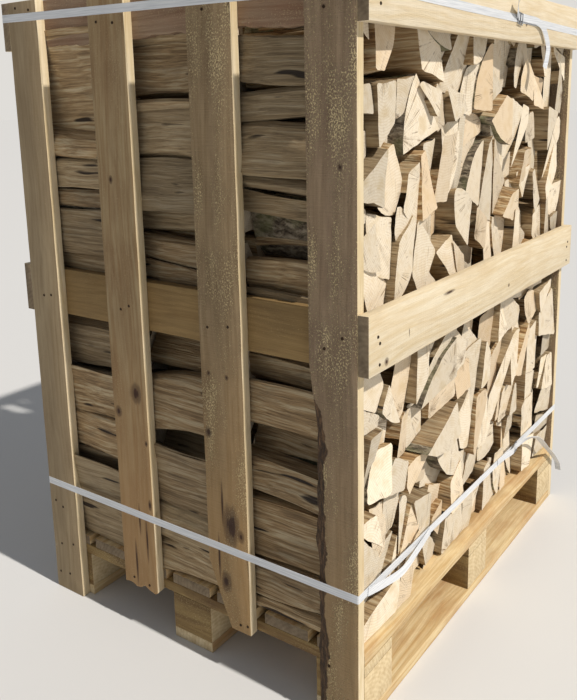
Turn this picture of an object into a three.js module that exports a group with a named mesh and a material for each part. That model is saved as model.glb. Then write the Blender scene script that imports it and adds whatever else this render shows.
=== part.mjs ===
// A cubic-metre crate of split firewood: a wooden pallet with slatted sides, two boards across each
// log-end face, three rows of short split logs stacked on the deck, and two tensioned plastic straps.
// Millimetres, +Z up. Origin: on the ground, under the middle of the pallet.
// X runs along the log-end faces, Y runs along the logs. The face with the strap buckles looks to -Y.

import * as THREE from 'three';

// ---- driving dimensions -------------------------------------------------------------------------

const PALLET_LENGTH = 1000; // along X
const PALLET_WIDTH = 800; // along Y
const CRATE_HEIGHT = 1280; // ground to the top of the slats
const GAP = 0.3; // clearance left between faces that touch

const SKID_THICKNESS = 22;
const BLOCK_SIZE = 100;
const BLOCK_TOP = 100;
const STRINGER_TOP = 122;
const DECK_TOP = 144;
const DECK_BOARDS = 7;
const DECK_BOARD_WIDTH = 98;

const BOARD_THICKNESS = 20; // sawn boards of the slatted frame
const RAIL_HEIGHTS = { mid: [652, 748], top: [1192, CRATE_HEIGHT] };
const END_BOARD_HEIGHTS = { mid: [654, 754], top: [1188, CRATE_HEIGHT] };

// Each side slat: its span along Y and how high above the ground it starts.
const SIDE_SLATS = {
  corner_front: { from: -400, to: -308, bottom: 0 },
  inner_front: { from: -167, to: -71, bottom: 98 },
  inner_back: { from: 75, to: 169, bottom: 92 },
  corner_back: { from: 314, to: 400, bottom: 0 },
};
// One slat's lower end has split away along the grain: the width lost at the very bottom and how
// high above it the split starts.
const SPLIT_SLAT = { name: 'left_slat_inner_front', width: 50, height: 130 };

const LOG_ROWS = ['front', 'middle', 'back'];
const LOG_ROW_LENGTH = 262.6; // room that one row of 250 mm logs takes up, uneven ends included
const LOG_TOP = 1262;
const LOG_SIDE_AT_RAILS = 479; // half-width where the stack lies against the rails
const LOG_SIDE = 498; // half-width where it bulges between the rails

const STRAP_WIDTH = 15;
const STRAP_THICKNESS = 0.8;
// Height of each strap's centre line at the middle of the crate, and how much it climbs along X and Y.
const STRAPS = {
  upper: { halfX: 520, halfY: 420, height: 1238, climbX: -0.012, climbY: 0.015, buckleX: 82 },
  lower: { halfX: 520, halfY: 400, height: 260, climbX: -0.005, climbY: 0, buckleX: 205 },
};
const BUCKLE = { width: 26, height: 24, wire: 3 };

// ---- materials ------------------------------------------------------------------------------------

const FINISHES = {
  pallet_wood: { color: 0xd2b080, roughness: 0.85 },
  block_wood: { color: 0xb59668, roughness: 0.9 },
  slat_wood: { color: 0xc9a97c, roughness: 0.85 },
  fresh_board: { color: 0xe6d2a4, roughness: 0.8 },
  split_wood: { color: 0xd9bf96, roughness: 0.9 },
  strap_plastic: { color: 0xe8eaec, roughness: 0.35 },
  buckle_wire: { color: 0xa9adb0, roughness: 0.35, metalness: 1 },
};

const crate = new THREE.Group();

function addMesh(name, geometry, finish) {
  const mesh = new THREE.Mesh(geometry, new THREE.MeshStandardMaterial(FINISHES[finish]));
  mesh.name = name;
  crate.add(mesh);
  return mesh;
}

// A sawn board or block that fills the box between these limits.
function addBoard(name, [x0, x1], [y0, y1], [z0, z1], finish) {
  const mesh = addMesh(name, new THREE.BoxGeometry(x1 - x0, y1 - y0, z1 - z0), finish);
  mesh.position.set((x0 + x1) / 2, (y0 + y1) / 2, (z0 + z1) / 2);
}

// ---- pallet ---------------------------------------------------------------------------------------

const HALF_LENGTH = PALLET_LENGTH / 2;
const HALF_WIDTH = PALLET_WIDTH / 2;
const ACROSS = { front: -HALF_WIDTH, middle: -BLOCK_SIZE / 2, back: HALF_WIDTH - BLOCK_SIZE };
const ALONG = { left: -HALF_LENGTH, middle: -BLOCK_SIZE / 2, right: HALF_LENGTH - BLOCK_SIZE };

function addPallet() {
  const fullX = [-HALF_LENGTH, HALF_LENGTH];
  const fullY = [-HALF_WIDTH, HALF_WIDTH];
  for (const [row, y] of Object.entries(ACROSS)) {
    const spanY = [y, y + BLOCK_SIZE];
    addBoard(`skid_${row}`, fullX, spanY, [0, SKID_THICKNESS], 'pallet_wood');
    for (const [column, x] of Object.entries(ALONG)) {
      const spanX = [x, x + BLOCK_SIZE];
      addBoard(`block_${row}_${column}`, spanX, spanY, [SKID_THICKNESS + GAP, BLOCK_TOP], 'block_wood');
    }
  }
  const stringerZ = [BLOCK_TOP + GAP, STRINGER_TOP];
  for (const [column, x] of Object.entries(ALONG)) {
    addBoard(`stringer_${column}`, [x, x + BLOCK_SIZE], fullY, stringerZ, 'pallet_wood');
  }
  const deckZ = [STRINGER_TOP + GAP, DECK_TOP];
  const pitch = (PALLET_WIDTH - DECK_BOARD_WIDTH) / (DECK_BOARDS - 1);
  for (let i = 0; i < DECK_BOARDS; i += 1) {
    const y = -HALF_WIDTH + i * pitch;
    addBoard(`deck_board_${i + 1}`, fullX, [y, y + DECK_BOARD_WIDTH], deckZ, 'pallet_wood');
  }
}

// ---- slatted sides ----------------------------------------------------------------------------------

// The outline of a slat in Y and Z, with its lower corner cut away if it has split.
function slatOutline({ from, to, bottom }, isSplit) {
  const outline = new THREE.Shape();
  outline.moveTo(from, bottom);
  if (isSplit) {
    outline.lineTo(to - SPLIT_SLAT.width, bottom);
    outline.lineTo(to, bottom + SPLIT_SLAT.height);
  } else {
    outline.lineTo(to, bottom);
  }
  outline.lineTo(to, CRATE_HEIGHT);
  outline.lineTo(from, CRATE_HEIGHT);
  outline.closePath();
  return outline;
}

function addSide(side, direction) {
  for (const [place, slat] of Object.entries(SIDE_SLATS)) {
    const name = `${side}_slat_${place}`;
    const depth = BOARD_THICKNESS - GAP;
    const outline = slatOutline(slat, name === SPLIT_SLAT.name);
    const geometry = new THREE.ExtrudeGeometry(outline, { depth, bevelEnabled: false });
    // The two turns stand the outline up, with its thickness along X.
    geometry.rotateX(Math.PI / 2);
    geometry.rotateZ(Math.PI / 2);
    const inner = HALF_LENGTH + GAP;
    addMesh(name, geometry, 'slat_wood').position.x = direction > 0 ? inner : -inner - depth;
  }
  const rail = [HALF_LENGTH - BOARD_THICKNESS, HALF_LENGTH];
  const spanX = direction > 0 ? rail : [-rail[1], -rail[0]];
  for (const [level, spanZ] of Object.entries(RAIL_HEIGHTS)) {
    addBoard(`${side}_rail_${level}`, spanX, [-HALF_WIDTH, HALF_WIDTH], spanZ, 'slat_wood');
  }
}

// ---- boards across the log ends ---------------------------------------------------------------------

function addEndBoards(face, direction) {
  const halfX = HALF_LENGTH + BOARD_THICKNESS;
  const inner = HALF_WIDTH + GAP;
  const outer = HALF_WIDTH + BOARD_THICKNESS;
  const spanY = direction > 0 ? [inner, outer] : [-outer, -inner];
  for (const [level, spanZ] of Object.entries(END_BOARD_HEIGHTS)) {
    addBoard(`${face}_board_${level}`, [-halfX, halfX], spanY, spanZ, 'fresh_board');
  }
}

// ---- stacked logs -----------------------------------------------------------------------------------

// One row of logs as a plain solid that reaches the tips of its logs: its outline in X and Z narrows
// where the rails of both sides pass, and it is as deep as the logs are long.
function addLogRow(row, index) {
  const half = [[LOG_SIDE, DECK_TOP + GAP]];
  for (const [low, high] of Object.values(RAIL_HEIGHTS)) {
    const notchTop = Math.min(high + 1, LOG_TOP);
    half.push([LOG_SIDE, low - 1], [LOG_SIDE_AT_RAILS, low - 1], [LOG_SIDE_AT_RAILS, notchTop]);
    if (notchTop < LOG_TOP) half.push([LOG_SIDE, notchTop]);
  }
  const outline = new THREE.Shape();
  const mirrored = half.map(([x, z]) => [-x, z]).reverse();
  outline.setFromPoints([...half, ...mirrored].map(([x, z]) => new THREE.Vector2(x, z)));
  const depth = LOG_ROW_LENGTH - GAP;
  const geometry = new THREE.ExtrudeGeometry(outline, { depth, bevelEnabled: false });
  geometry.rotateX(Math.PI / 2);
  // The outline's depth runs towards -Y after the turn, so the row hangs from its far end.
  const farEnd = (index + 1 - LOG_ROWS.length / 2) * LOG_ROW_LENGTH;
  addMesh(`log_row_${row}`, geometry, 'split_wood').position.y = farEnd;
}

// ---- straps -----------------------------------------------------------------------------------------

// A rectangle of this half-width and half-height, centred, with a wall of this thickness inside it.
function rectangularRing(x, y, wall) {
  const corners = (a, b) => [[-a, -b], [a, -b], [a, b], [-a, b]].map((p) => new THREE.Vector2(...p));
  const outline = new THREE.Shape(corners(x, y));
  outline.holes.push(new THREE.Path(corners(x - wall, y - wall)));
  return outline;
}

// A flat band around the crate, which climbs a little across the faces.
function addStrap(name, { halfX, halfY, height, climbX, climbY }) {
  const proud = GAP + STRAP_THICKNESS;
  const outline = rectangularRing(halfX + proud, halfY + proud, STRAP_THICKNESS);
  const geometry = new THREE.ExtrudeGeometry(outline, { depth: STRAP_WIDTH, bevelEnabled: false });
  const climb = new THREE.Matrix4().set(1, 0, 0, 0, 0, 1, 0, 0, climbX, climbY, 1, 0, 0, 0, 0, 1);
  geometry.applyMatrix4(climb);
  addMesh(`${name}_strap`, geometry, 'strap_plastic').position.z = height - STRAP_WIDTH / 2;
}

// The wire buckle that joins a strap's ends: a bent wire frame that lies flat on the strap.
function addBuckle(name, { halfY, height, climbX, climbY, buckleX }) {
  const outline = rectangularRing(BUCKLE.width / 2, BUCKLE.height / 2, BUCKLE.wire);
  const geometry = new THREE.ExtrudeGeometry(outline, { depth: BUCKLE.wire, bevelEnabled: false });
  geometry.rotateX(Math.PI / 2);
  const mesh = addMesh(`${name}_buckle`, geometry, 'buckle_wire');
  const strapFace = -(halfY + STRAP_THICKNESS + 2 * GAP);
  mesh.position.set(buckleX, strapFace, height + climbX * buckleX - climbY * halfY);
}

addPallet();
addSide('left', -1);
addSide('right', 1);
addEndBoards('front', -1);
addEndBoards('back', 1);
LOG_ROWS.forEach(addLogRow);
for (const [name, strap] of Object.entries(STRAPS)) {
  addStrap(name, strap);
  addBuckle(name, strap);
}

export default crate;
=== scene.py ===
"""Looks for a crate of split firewood: sawn pallet and slats, stacked split logs, plastic straps.

Metres, +Z up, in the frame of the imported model. The log ends face -Y and +Y, the slatted sides -X and +X.
"""
import math
import random

import bmesh
import bpy
import numpy as np
from mathutils import Matrix, Quaternion, Vector, noise


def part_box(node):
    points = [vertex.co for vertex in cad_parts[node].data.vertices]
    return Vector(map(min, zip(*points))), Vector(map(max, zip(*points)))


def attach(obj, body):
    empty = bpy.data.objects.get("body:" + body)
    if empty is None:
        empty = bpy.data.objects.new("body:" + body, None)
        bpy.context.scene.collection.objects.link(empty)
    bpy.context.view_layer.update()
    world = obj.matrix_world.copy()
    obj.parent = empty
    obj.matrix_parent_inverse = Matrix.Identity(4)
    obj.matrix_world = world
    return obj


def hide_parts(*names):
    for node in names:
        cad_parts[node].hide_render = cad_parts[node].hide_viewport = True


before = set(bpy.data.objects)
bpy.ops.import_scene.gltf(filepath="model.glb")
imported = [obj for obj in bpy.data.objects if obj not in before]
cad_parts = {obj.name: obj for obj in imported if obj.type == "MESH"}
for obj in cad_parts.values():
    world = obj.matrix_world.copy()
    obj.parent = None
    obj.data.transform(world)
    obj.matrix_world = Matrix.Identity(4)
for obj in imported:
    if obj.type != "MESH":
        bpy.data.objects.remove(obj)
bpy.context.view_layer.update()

# without a seed, noise_vector starts from the clock and the boards come out different each time
noise.seed_set(1)

MM = 0.001
SCENE = bpy.context.scene
X, Y, Z = 0, 1, 2
FLOOR_REACH = 60  # metres each way


# ---- small helpers -------------------------------------------------------------------------------

def linear(colour):
    """An sRGB hex colour as linear RGBA."""
    parts = [int(colour[i:i + 2], 16) / 255 for i in (1, 3, 5)]
    return (*[c / 12.92 if c <= 0.04045 else ((c + 0.055) / 1.055) ** 2.4 for c in parts], 1.0)


def plug(tree, source, socket):
    """Links a node's first live output, or the output given, to an input."""
    if isinstance(source, bpy.types.Node):
        source = next(output for output in source.outputs if output.enabled)
    tree.links.new(source, socket)


def node(tree, kind, inputs=None, stops=None, **settings):
    """Adds a shader node with its settings, its inputs (values, nodes or their outputs) and, on a ramp,
    its colour stops."""
    made = tree.nodes.new("ShaderNode" + kind)
    for name, value in settings.items():
        setattr(made, name, value)
    if stops:
        elements = made.color_ramp.elements
        while len(elements) < len(stops):
            elements.new(0.5)
        for element, (place, colour) in zip(elements, stops):
            element.position = place
            element.color = linear(colour) if isinstance(colour, str) else (colour,) * 3 + (1.0,)
    for name, value in (inputs or {}).items():
        if isinstance(value, (bpy.types.Node, bpy.types.NodeSocket)):
            plug(tree, value, made.inputs[name])
        else:
            made.inputs[name].default_value = value
    return made


def new_material(name, *attributes):
    """A material with its empty tree, its Principled shader, and a socket for each attribute it reads."""
    material = bpy.data.materials.new(name)
    material.use_nodes = True
    tree = material.node_tree
    tree.nodes.clear()
    shader = node(tree, "BsdfPrincipled")
    node(tree, "OutputMaterial", {"Surface": shader})
    sockets = []
    for attribute in attributes:
        output = "Fac" if attribute in ("tone", "warmth") else "Vector"
        sockets.append(node(tree, "Attribute", attribute_name=attribute).outputs[output])
    return material, tree, shader, *sockets


def set_attribute(mesh, name, kind, values):
    """Stores one value or vector per vertex, for the materials to read."""
    attribute = mesh.attributes.new(name, kind, "POINT")
    key = "vector" if kind == "FLOAT_VECTOR" else "value"
    attribute.data.foreach_set(key, np.asarray(values, np.float32).ravel())


def coordinates(mesh):
    """The places of a mesh's vertices, one row each."""
    places = np.empty(len(mesh.vertices) * 3, np.float32)
    mesh.vertices.foreach_get("co", places)
    return places.reshape(-1, 3)


def finished(name, bm, materials, replaces=(), smooth=None):
    """Turns a bmesh into a piece that rides on the crate and stands for the given CAD nodes."""
    mesh = bpy.data.meshes.new(name)
    bm.to_mesh(mesh)
    bm.free()
    for material in materials:
        mesh.materials.append(material)
    if smooth is not None:
        mesh.shade_smooth()
        mesh.set_sharp_from_angle(angle=math.radians(smooth))
    piece = bpy.data.objects.new(name, mesh)
    SCENE.collection.objects.link(piece)
    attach(piece, "root")
    if replaces:
        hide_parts(*replaces)
    return piece


# ---- camera, light and floor ---------------------------------------------------------------------

def make_camera():
    data = bpy.data.cameras.new("camera")
    camera = bpy.data.objects.new("camera", data)
    SCENE.collection.objects.link(camera)
    heading, dip, roll = math.radians(54.28), math.radians(11.84), math.radians(1.21)
    ahead = Vector((math.sin(heading) * math.cos(dip), math.cos(heading) * math.cos(dip), -math.sin(dip)))
    level = ahead.to_track_quat("-Z", "Y")
    camera.location = (-1.544, -1.006, 1.078)
    camera.rotation_mode = "QUATERNION"
    camera.rotation_quaternion = level @ Quaternion((0, 0, 1), -roll)
    data.lens = 41.0
    data.shift_x = 0.001
    data.shift_y = -0.116
    data.clip_start = 0.05
    SCENE.camera = camera


def make_light():
    """A soft key lamp as high as a mid-morning sun, in line with the slatted side, and a pale surround."""
    data = bpy.data.lights.new("key", "SUN")
    data.energy = 3.5
    data.angle = math.radians(1.6)
    data.color = linear("#fff9f1")[:3]
    key = bpy.data.objects.new("key", data)
    SCENE.collection.objects.link(key)
    height = math.radians(48)
    travel = Vector((0.016, math.cos(height), -math.sin(height)))
    key.rotation_mode = "QUATERNION"
    key.rotation_quaternion = travel.to_track_quat("-Z", "Y")
    world = bpy.data.worlds.new("surround")
    world.use_nodes = True
    SCENE.world = world
    tree = world.node_tree
    tree.nodes.clear()
    path = node(tree, "LightPath")
    lighting = node(tree, "Background", {"Color": linear("#e9edf4"), "Strength": 0.3})
    backdrop = node(tree, "Background", {"Color": linear("#e0ddd8"), "Strength": 1.0})
    seen = node(tree, "MixShader", {0: path.outputs["Is Camera Ray"], 1: lighting, 2: backdrop})
    node(tree, "OutputWorld", {"Surface": seen})
    SCENE.view_settings.view_transform = "Standard"


def make_floor():
    bm = bmesh.new()
    bmesh.ops.create_grid(bm, x_segments=1, y_segments=1, size=FLOOR_REACH)
    mesh = bpy.data.meshes.new("floor")
    bm.to_mesh(mesh)
    bm.free()
    material, tree, shader = new_material("pale_floor")
    shader.inputs["Base Color"].default_value = linear("#dadad9")
    shader.inputs["Roughness"].default_value = 0.9
    mesh.materials.append(material)
    floor = bpy.data.objects.new("floor", mesh)
    SCENE.collection.objects.link(floor)


# ---- materials -----------------------------------------------------------------------------------

def pattern(tree, place, per_metre, detail=2.0, roughness=0.5):
    """Noise with so many features to the metre along, across and through the wood."""
    stretched = node(tree, "VectorMath", {0: place, 1: per_metre}, operation="MULTIPLY")
    return node(tree, "TexNoise", {"Vector": stretched, "Scale": 1.0, "Detail": detail,
                "Roughness": roughness})


def wandering(tree, place, per_metre, detail, reach):
    """The place pushed about by slow noise, up to so many metres each way, so that the grain wanders."""
    stretched = node(tree, "VectorMath", {0: place, 1: per_metre}, operation="MULTIPLY")
    push = node(tree, "TexNoise", {"Vector": stretched, "Scale": 1.0, "Detail": detail})
    return node(tree, "VectorMath", {0: push.outputs["Color"], 1: reach, 2: place},
                operation="MULTIPLY_ADD")


def shaded(tree, colour, relief, low, high, tone):
    """The colour made darker in the relief's hollows, which is painted shade, times the tone of the piece or
    log.
    """
    shade = node(tree, "MapRange", {"Value": relief, "To Min": low, "To Max": high})
    shade = node(tree, "Math", {0: shade, 1: tone}, operation="MULTIPLY")
    return node(tree, "VectorMath", {0: colour, "Scale": shade}, operation="SCALE")


def dress(tree, shader, colour, height, roughness, strength, depth):
    """Gives the shader its colour, its roughness and a relief so many metres deep."""
    bump = node(tree, "Bump", {"Height": height, "Strength": strength, "Distance": depth})
    plug(tree, colour, shader.inputs["Base Color"])
    plug(tree, bump, shader.inputs["Normal"])
    shader.inputs["Roughness"].default_value = roughness


def fibre_specks_painted_glint(tree, grain, colour, height, fuzz):
    """Pale specks of torn fibre about 3 mm across, thick in some stretches of a board, thin in others. Their
    pale colour is a painted highlight, the glint of grazing light on the lifted fibres.
    """
    speck = pattern(tree, grain, (300, 400, 400), 2.0, 0.7)
    patch = pattern(tree, grain, (5, 20, 20), 3.0)
    limit = node(tree, "MapRange", {"Value": patch, "From Min": 0.36, "From Max": 0.64,
                 "To Min": 0.68, "To Max": 0.62 - 0.17 * fuzz})
    over = node(tree, "Math", {0: speck, 1: limit}, operation="SUBTRACT")
    mask = node(tree, "MapRange", {"Value": over, "From Max": 0.07, "To Max": fuzz * 0.75})
    # the pale speck colour is a painted highlight: the lamp's glint on the lifted fibres
    colour = node(tree, "Mix", {0: mask, 6: colour, 7: linear("#e9d3a0")}, data_type="RGBA")
    height = node(tree, "Math", {0: mask, 1: 1.8, 2: height}, operation="MULTIPLY_ADD")
    return colour, height


def knot(tree, grain, lines, colour, height, along, across, size, squash):
    """A dark knot or crack, its rim frayed by the growth lines: the knot's own dark wood, with painted shade
    in the hollow of a knot hole or crack. Place and half width are in mm, and squash
    is how many times shorter it is along the grain than across it."""
    centred = node(tree, "VectorMath", {0: grain, 1: (along * MM, across * MM, 0)}, operation="SUBTRACT")
    oval = node(tree, "VectorMath", {0: centred, 1: (squash, 1.0, 0.0)}, operation="MULTIPLY")
    reach = node(tree, "VectorMath", {0: oval}, operation="LENGTH")
    frayed = node(tree, "Math", {0: lines, 1: size * 0.8 * MM, 2: reach}, operation="MULTIPLY_ADD")
    span = node(tree, "MapRange", {"Value": frayed, "From Min": size * 0.35 * MM,
                "From Max": size * 1.45 * MM})
    rim = node(tree, "ValToRGB", {"Fac": span},
               stops=[(0.0, 1.0), (0.36, 0.95), (0.46, 0.64), (0.72, 0.5), (1.0, 0.0)])
    # the dark core is partly the knot's own colour, partly painted shade in the hole or crack
    colour = node(tree, "Mix", {0: rim, 6: colour, 7: linear("#3a1d0a")}, data_type="RGBA")
    height = node(tree, "Math", {0: rim, 1: -0.9, 2: height}, operation="MULTIPLY_ADD")
    return colour, height


def bark_and_painted_wane_shade(tree, grain, colour, height, width, reach, top):
    """Dark bark on the arris that was the round of the trunk, its margin wandering with the wood, and drawn
    wide enough to stand also for the shade in the wane: partly real bark, partly painted shade. Board
    width, bark width and the height up to which it runs are in mm."""
    run = node(tree, "SeparateXYZ", {0: grain})
    drift = pattern(tree, grain, (11, 0, 0), 4.0, 0.6)
    margin = node(tree, "MapRange", {"Value": drift, "From Min": 0.3, "From Max": 0.7,
                  "To Min": (width - reach * 0.45) * MM, "To Max": (width - reach * 1.25) * MM})
    ended = node(tree, "MapRange", {"Value": run.outputs[0], "From Min": (top - 60) * MM,
                 "From Max": top * MM, "To Max": 1.6 * reach * MM})
    margin = node(tree, "Math", {0: margin, 1: ended}, operation="ADD")
    past = node(tree, "Math", {0: run.outputs[1], 1: margin}, operation="SUBTRACT")
    barked = node(tree, "MapRange", {"Value": past, "From Max": 2.5 * MM, "To Max": 0.94})
    # flakes some 6 mm wide and four times as long
    flakes = pattern(tree, grain, (45, 170, 170), 4.0, 0.7)
    skin = node(tree, "ValToRGB", {"Fac": flakes},
                stops=[(0.36, "#20140c"), (0.5, "#46301d"), (0.66, "#7a5b3e")])
    # the dark strip is partly bark, partly painted shade of the wane
    colour = node(tree, "Mix", {0: barked, 6: colour, 7: skin}, data_type="RGBA")
    crust = node(tree, "Math", {0: flakes, 1: barked}, operation="MULTIPLY")
    height = node(tree, "Math", {0: crust, 1: 3.0, 2: height}, operation="MULTIPLY_ADD")
    return colour, height


def sawn_softwood(name, pale, dark, stain, stain_share=0.3, fuzz=0.0, marks=(), foot=None,
                  bark_and_wane_shade=None):
    """Spruce or pine straight from the saw: long grain lines, slow blotches of stain and, where it is
    rough, lifted fibres whose glint in the light is painted in as pale specks. Marks are what knot takes, a
    foot colour warms the lower end, and a bark edge sets the dark strip of bark and painted wane shade."""
    material, tree, shader, grain, tone = new_material(name, "grain", "tone")
    # growth lines about 8 mm apart, with fibres finer than 2 mm between them
    bent = wandering(tree, grain, (2.2, 9, 9), 2.0, (0.0, 0.05, 0.05))
    lines = pattern(tree, bent, (2.5, 120, 120), 3.0, 0.6)
    hair = pattern(tree, grain, (30, 700, 700))
    share = node(tree, "MapRange", {"Value": lines, "From Min": 0.38, "From Max": 0.68})
    colour = node(tree, "Mix", {0: share, 6: linear(pale), 7: linear(dark)}, data_type="RGBA")
    # blotches some 60 mm wide and 200 mm long
    blotch = pattern(tree, grain, (5, 16, 16), 4.0, 0.65)
    share = node(tree, "MapRange", {"Value": blotch, "From Min": 0.42, "From Max": 0.75,
                 "To Max": stain_share * 2})
    colour = node(tree, "Mix", {0: share, 6: colour, 7: linear(stain)}, data_type="RGBA")
    if foot:
        run = node(tree, "SeparateXYZ", {0: grain})
        low_down = node(tree, "MapRange", {"Value": run, "From Min": 0.2, "From Max": 0.6,
                        "To Min": 0.55, "To Max": 0.0})
        colour = node(tree, "Mix", {0: low_down, 6: colour, 7: linear(foot)}, data_type="RGBA")
    colour = shaded(tree, colour, hair, 0.84, 1.12, tone)
    height = node(tree, "Math", {0: lines, 1: 0.6, 2: hair}, operation="MULTIPLY_ADD")
    # the saw's teeth left fine ridges across the board, 4 mm apart
    teeth = pattern(tree, grain, (250, 14, 14))
    height = node(tree, "Math", {0: teeth, 1: 0.4 + fuzz * 0.6, 2: height}, operation="MULTIPLY_ADD")
    if fuzz:
        colour, height = fibre_specks_painted_glint(tree, grain, colour, height, fuzz)
    for mark in marks:
        colour, height = knot(tree, grain, lines, colour, height, *mark)
    if bark_and_wane_shade:
        colour, height = bark_and_painted_wane_shade(tree, grain, colour, height, *bark_and_wane_shade)
    dress(tree, shader, colour, height, 0.85, 0.5 + fuzz * 0.4, 1.4 * MM)
    return material


def sawn_end(name, pale, dark):
    """The cross-cut end of a board: fibres end-on, dulled by dirt, with the arcs of its yearly rings."""
    material, tree, shader, grain, tone = new_material(name, "grain", "tone")
    # rings 8 mm apart, coarser than real ones so that they still show
    arcs = node(tree, "TexWave", {"Vector": grain, "Scale": 39.0, "Distortion": 3.0, "Detail": 2.0},
                wave_type="RINGS", rings_direction="X")
    grime = pattern(tree, grain, (60, 60, 60), 4.0, 0.7)
    share = node(tree, "Math", {0: arcs, 1: 0.1, 2: grime}, operation="MULTIPLY_ADD")
    share = node(tree, "MapRange", {"Value": share, "From Min": 0.4, "From Max": 0.85})
    colour = node(tree, "Mix", {0: share, 6: linear(pale), 7: linear(dark)}, data_type="RGBA")
    colour = node(tree, "VectorMath", {0: colour, "Scale": tone}, operation="SCALE")
    fibres = pattern(tree, grain, (500, 500, 500))
    height = node(tree, "Math", {0: arcs, 1: 0.25, 2: fibres}, operation="MULTIPLY_ADD")
    dress(tree, shader, colour, height, 0.9, 0.5, 0.6 * MM)
    return material


def drying_cracks(tree, parts, reach, cloud):
    """Thin spokes from the pith, broken up along their length: 1 in a crack and 0 beside it."""
    angle = node(tree, "Math", {0: parts.outputs[0], 1: parts.outputs[1]}, operation="ARCTAN2")
    spokes = node(tree, "CombineXYZ", {0: angle, 1: parts.outputs[2], 2: 0.0})
    crack = node(tree, "TexNoise", {"Vector": spokes, "Scale": 9.0, "Detail": 1.0})
    ridge = node(tree, "Math", {0: crack, 1: 0.5}, operation="SUBTRACT")
    ridge = node(tree, "Math", {0: ridge}, operation="ABSOLUTE")
    ridge = node(tree, "Math", {0: ridge, 1: reach}, operation="MULTIPLY")
    cracks = node(tree, "MapRange", {"Value": ridge, "From Min": 0.12 * MM, "From Max": 0.8 * MM,
                  "To Min": 1.0, "To Max": 0.0})
    broken = node(tree, "MapRange", {"Value": cloud, "From Min": 0.48, "From Max": 0.58})
    return node(tree, "Math", {0: cracks, 1: broken}, operation="MULTIPLY")


def saw_lines(tree, parts, warmth):
    """The saw's own lines, 3 mm apart, turned a different way on each log and plainest on the warm ones."""
    heading = node(tree, "Math", {0: parts.outputs[2], 1: 5.0}, operation="MULTIPLY")
    cosine = node(tree, "Math", {0: heading}, operation="COSINE")
    sine = node(tree, "Math", {0: heading}, operation="SINE")
    run = node(tree, "Math", {0: cosine, 1: parts.outputs[0]}, operation="MULTIPLY")
    run = node(tree, "Math", {0: sine, 1: parts.outputs[1], 2: run}, operation="MULTIPLY_ADD")
    saw = node(tree, "Math", {0: run, 1: 2 * math.pi / (3 * MM)}, operation="MULTIPLY")
    saw = node(tree, "Math", {0: saw}, operation="SINE")
    return node(tree, "Math", {0: saw, 1: warmth}, operation="MULTIPLY")


def log_end():
    """Saw-cut birch: whitish cream with faint yearly rings round the pith, fine drying cracks that run out
    from it, painted dark as the shade inside them, and the saw's own lines across some of the ends."""
    material, tree, shader, ring, tone, warmth = new_material("saw_cut_birch", "ring", "tone", "warmth")
    flat = node(tree, "VectorMath", {0: ring, 1: (1, 1, 0)}, operation="MULTIPLY")
    reach = node(tree, "VectorMath", {0: flat}, operation="LENGTH")
    parts = node(tree, "SeparateXYZ", {0: ring})
    cloud = pattern(tree, ring, (28, 28, 28), 4.0, 0.6)
    # rings 5 mm apart, coarser than real ones so that they still show
    wavy = node(tree, "Math", {0: cloud, 1: 12 * MM, 2: reach}, operation="MULTIPLY_ADD")
    turns = node(tree, "Math", {0: wavy, 1: 2 * math.pi / (5 * MM)}, operation="MULTIPLY")
    rings = node(tree, "Math", {0: turns}, operation="SINE")
    rings = node(tree, "MapRange", {"Value": rings, "From Min": 0.2, "From Max": 1.0, "To Max": 0.3})
    cracks = drying_cracks(tree, parts, reach, cloud)
    saw = saw_lines(tree, parts, warmth)
    pale = node(tree, "ValToRGB", {"Fac": cloud},
                stops=[(0.3, "#dccaa9"), (0.5, "#ede1cb"), (0.72, "#e5d4b6")])
    colour = node(tree, "Mix", {0: rings, 6: pale, 7: linear("#c9ac80")}, data_type="RGBA")
    tint = node(tree, "MapRange", {"Value": warmth, "From Min": 0.55, "From Max": 1.0,
                "To Max": 0.55})
    colour = node(tree, "Mix", {0: tint, 6: colour, 7: linear("#dbb98a")}, data_type="RGBA")
    # the drying cracks are painted dark: painted shade inside them
    crack_shade = node(tree, "Math", {0: cracks, 1: 0.75}, operation="MULTIPLY")
    colour = node(tree, "Mix", {0: crack_shade, 6: colour, 7: linear("#7b5c38")}, data_type="RGBA")
    shade = node(tree, "Math", {0: saw, 1: 0.05, 2: tone}, operation="MULTIPLY_ADD")
    colour = node(tree, "VectorMath", {0: colour, "Scale": shade}, operation="SCALE")
    fibres = pattern(tree, ring, (420, 420, 420))
    height = node(tree, "Math", {0: cracks, 1: -2.0, 2: fibres}, operation="MULTIPLY_ADD")
    height = node(tree, "Math", {0: saw, 1: 0.25, 2: height}, operation="MULTIPLY_ADD")
    dress(tree, shader, colour, height, 0.85, 0.6, 1.2 * MM)
    return material


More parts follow.
